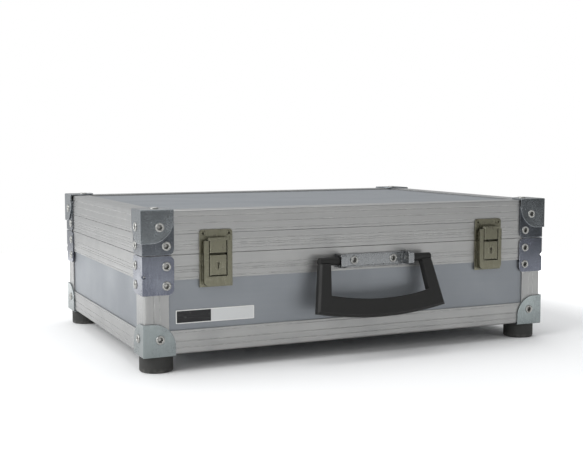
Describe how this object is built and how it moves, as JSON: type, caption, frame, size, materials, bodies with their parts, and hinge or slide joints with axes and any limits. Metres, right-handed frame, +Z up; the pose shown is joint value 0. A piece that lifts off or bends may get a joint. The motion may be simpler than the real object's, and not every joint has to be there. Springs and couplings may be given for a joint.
{
  "type": "aluminium carrying case",
  "caption": "Flat aluminium-framed carrying case for art supplies, with a hinged lid, key locks, a drop handle, riveted corner braces and rubber feet.",
  "frame": {"origin": "middle of the whole footprint, hanging handle and hinges included, level with the undersides of the feet", "axes": "+X to the right along the width, +Y from the front with the handle to the back with the hinges, +Z up"},
  "size_m": [0.4582, 0.3517, 0.1546],
  "materials": {
    "profile_aluminium": "extruded and brushed along its length, worn matt",
    "panel_aluminium": "plain anodised sheet skin over a core",
    "pressed_steel": "blue passivated zinc on pressed steel, satin",
    "rivet_steel": "bright plated",
    "lock_nickel": "aged olive nickel plate",
    "bracket_zinc": "bright zinc plate",
    "black_plastic": "fine moulded texture",
    "rubber": "matt",
    "label": "two-tone printed foil, blank"
  },
  "bodies": {
    "base": {"back_bottom_profile": "profile_aluminium", "back_rim_profile": "profile_aluminium", "back_wall_panel": "panel_aluminium", "base_braces": "pressed_steel", "base_rivets": "rivet_steel", "bottom_corner_back_left": "pressed_steel", "bottom_corner_back_right": "pressed_steel", "bottom_corner_front_left": "pressed_steel", "bottom_corner_front_right": "pressed_steel", "bottom_panel": "panel_aluminium", "corner_posts": "profile_aluminium", "foot_back_left": "rubber", "foot_back_right": "rubber", "foot_front_left": "rubber", "foot_front_right": "rubber", "foot_screws": "rivet_steel", "front_bottom_profile": "profile_aluminium", "front_rim_profile": "profile_aluminium", "front_wall_panel": "panel_aluminium", "handle_bracket": "bracket_zinc", "hinge_base_leaves": "bracket_zinc", "hinge_pins": "rivet_steel", "label_plate": "label", "left_bottom_profile": "profile_aluminium", "left_rim_profile": "profile_aluminium", "left_wall_panel": "panel_aluminium", "lever_springs": "rivet_steel", "lock_housing_left": "lock_nickel", "lock_housing_right": "lock_nickel", "lock_housing_rivets": "lock_nickel", "lock_lever_pins": "lock_nickel", "right_bottom_profile": "profile_aluminium", "right_rim_profile": "profile_aluminium", "right_wall_panel": "panel_aluminium"},
    "lid": {"hasp_pins": "rivet_steel", "hinge_lid_leaves": "bracket_zinc", "lid_back_closure_profile": "profile_aluminium", "lid_back_edge_profile": "profile_aluminium", "lid_braces": "pressed_steel", "lid_front_closure_profile": "profile_aluminium", "lid_front_edge_profile": "profile_aluminium", "lid_left_closure_profile": "profile_aluminium", "lid_left_edge_profile": "profile_aluminium", "lid_right_closure_profile": "profile_aluminium", "lid_right_edge_profile": "profile_aluminium", "lid_rivets": "rivet_steel", "lid_top_panel": "panel_aluminium", "lid_wall_panels": "panel_aluminium", "strike_plate_left": "lock_nickel", "strike_plate_right": "lock_nickel", "strike_rivets": "lock_nickel", "top_corners": "pressed_steel"},
    "handle": {"handle_grip": "black_plastic", "handle_pins": "rivet_steel"},
    "lever_left": {"lock_lever_left": "lock_nickel"},
    "lever_right": {"lock_lever_right": "lock_nickel"},
    "key_left": {"key_plug_left": "lock_nickel"},
    "key_right": {"key_plug_right": "lock_nickel"},
    "hasp_left": {"hasp_left": "lock_nickel"},
    "hasp_right": {"hasp_right": "lock_nickel"}
  },
  "joints": [
    {"name": "lid_hinge", "type": "hinge", "parent": "base", "child": "lid", "pos_m": [0, 0.17266, 0.11075], "axis": [-1, 0, 0], "range_deg": [0, 100]},
    {"name": "handle_swing", "type": "hinge", "parent": "base", "child": "handle", "pos_m": [0.013, -0.15584, 0.0977], "axis": [-1, 0, 0], "range_deg": [0, 160]},
    {"name": "lever_rock_left", "type": "hinge", "parent": "base", "child": "lever_left", "pos_m": [-0.1545, -0.15004, 0.0985], "axis": [1, 0, 0], "range_deg": [0, 12], "stiffness_Nm_per_rad": 0.05, "springref_deg": -11.46},
    {"name": "key_turn_left", "type": "hinge", "parent": "lever_left", "child": "key_left", "pos_m": [-0.1545, -0.15284, 0.0998], "axis": [0, 1, 0], "range_deg": [0, 90]},
    {"name": "hasp_swing_left", "type": "hinge", "parent": "lid", "child": "hasp_left", "pos_m": [-0.1545, -0.15254, 0.1243], "axis": [-1, 0, 0], "range_deg": [0, 100]},
    {"name": "lever_rock_right", "type": "hinge", "parent": "base", "child": "lever_right", "pos_m": [0.1545, -0.15004, 0.0985], "axis": [1, 0, 0], "range_deg": [0, 12], "stiffness_Nm_per_rad": 0.05, "springref_deg": -11.46},
    {"name": "key_turn_right", "type": "hinge", "parent": "lever_right", "child": "key_right", "pos_m": [0.1545, -0.15284, 0.0998], "axis": [0, 1, 0], "range_deg": [0, 90]},
    {"name": "hasp_swing_right", "type": "hinge", "parent": "lid", "child": "hasp_right", "pos_m": [0.1545, -0.15254, 0.1243], "axis": [-1, 0, 0], "range_deg": [0, 100]}
  ]
}
